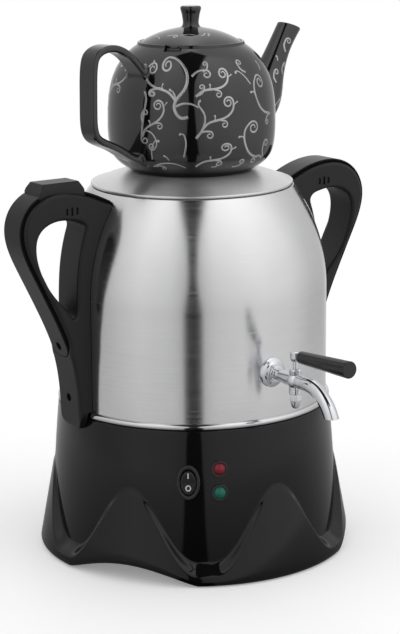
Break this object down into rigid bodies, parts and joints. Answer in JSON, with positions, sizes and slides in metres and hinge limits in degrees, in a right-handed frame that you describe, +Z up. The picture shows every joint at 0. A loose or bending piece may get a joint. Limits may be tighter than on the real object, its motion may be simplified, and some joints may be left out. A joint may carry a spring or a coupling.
{
  "type": "electric samovar",
  "caption": "Steel hot-water urn on a heated black base, with a plug tap, loop handles, a lift-off lid and a glazed black teapot standing on it.",
  "frame": {"origin": "on the urn's axis at the level of the surface it stands on", "axes": "+Z up, the tap points along -Y, the loop handles lie along +X and -X"},
  "size_m": [0.3108, 0.3081, 0.4095],
  "materials": {
    "gloss_black_plastic": "glossy black moulded housing",
    "black_plastic": "plain black moulding",
    "handle_plastic": "satin black heat-resistant moulding",
    "cover_plastic": "smooth black moulding",
    "switch_plastic": "black, white marks on the rocker",
    "foot_rubber": "matt black rubber",
    "polished_steel": "mirror polished",
    "brushed_steel": "fine brushing round the axis",
    "tank_steel": "plain mill finish",
    "zinc_steel": "zinc plated",
    "cast_aluminium": "cast",
    "element_sheath": "heat-darkened tube",
    "steatite": "unglazed",
    "terminal_plastic": "off-white",
    "red_lens": "clear red lens",
    "green_lens": "clear green lens",
    "chromed_brass": "bright chrome plating",
    "silicone": "food-grade silicone",
    "valve_plastic": "low-friction white polymer",
    "pot_glaze": "glossy black glaze"
  },
  "bodies": {
    "samovar": {"base_shell": "gloss_black_plastic", "bottom_plate": "black_plastic", "foot_pads": "foot_rubber", "trim_ring": "polished_steel", "urn_shell": "brushed_steel", "water_tank": "tank_steel", "tank_support": "zinc_steel", "heater_plate": "cast_aluminium", "heating_element": "element_sheath", "thermostat": "steatite", "dry_boil_cutout": "zinc_steel", "tie_rods": "zinc_steel", "rod_nuts": "zinc_steel", "terminal_block": "terminal_plastic", "power_inlet": "black_plastic", "inlet_pins": "zinc_steel", "switch_housing": "switch_plastic", "red_lamp": "red_lens", "green_lamp": "green_lens", "lamp_nuts": "black_plastic", "left_handle": "handle_plastic", "right_handle": "handle_plastic", "left_cover": "cover_plastic", "right_cover": "cover_plastic", "handle_screws": "zinc_steel", "handle_nuts": "zinc_steel", "tap_escutcheon": "chromed_brass", "tap_body": "chromed_brass", "tap_spout": "chromed_brass", "tap_gland_nut": "chromed_brass", "tap_bottom_cap": "chromed_brass", "tap_spacer": "zinc_steel", "tap_washer": "silicone", "tap_back_nut": "zinc_steel", "button_spring": "zinc_steel"},
    "rocker": {"switch_rocker": "switch_plastic"},
    "button": {"thumb_button": "cover_plastic"},
    "tap_lever": {"tap_plug": "valve_plastic", "lever_hub": "chromed_brass", "lever_grip": "handle_plastic"},
    "lid": {"urn_lid": "brushed_steel", "lid_seal": "silicone"},
    "teapot": {"teapot_pot": "pot_glaze", "teapot_spout": "pot_glaze", "teapot_handle": "pot_glaze"},
    "teapot_cover": {"teapot_lid": "pot_glaze"}
  },
  "joints": [
    {"name": "lid_lift", "type": "slide", "parent": "samovar", "child": "lid", "axis": [0, 0, 1], "range_m": [0, 0.08]},
    {"name": "teapot_lift", "type": "slide", "parent": "lid", "child": "teapot", "axis": [0, 0, 1], "range_m": [0, 0.1]},
    {"name": "teapot_lid_lift", "type": "slide", "parent": "teapot", "child": "teapot_cover", "axis": [0, 0, 1], "range_m": [0, 0.06]},
    {"name": "tap_turn", "type": "hinge", "parent": "samovar", "child": "tap_lever", "pos_m": [0, -0.1293, 0.1522], "axis": [0, 0, 1], "range_deg": [0, 90]},
    {"name": "switch_tilt", "type": "hinge", "parent": "samovar", "child": "rocker", "pos_m": [-0.06377, -0.08586, 0.0764], "axis": [-0.8028, 0.5962, 0], "range_deg": [0, 16]},
    {"name": "button_press", "type": "slide", "parent": "samovar", "child": "button", "axis": [0, 0, -1], "range_m": [0, 0.003], "stiffness_N_per_m": 300, "springref_m": -0.002, "deforming": ["button_spring"]}
  ]
}
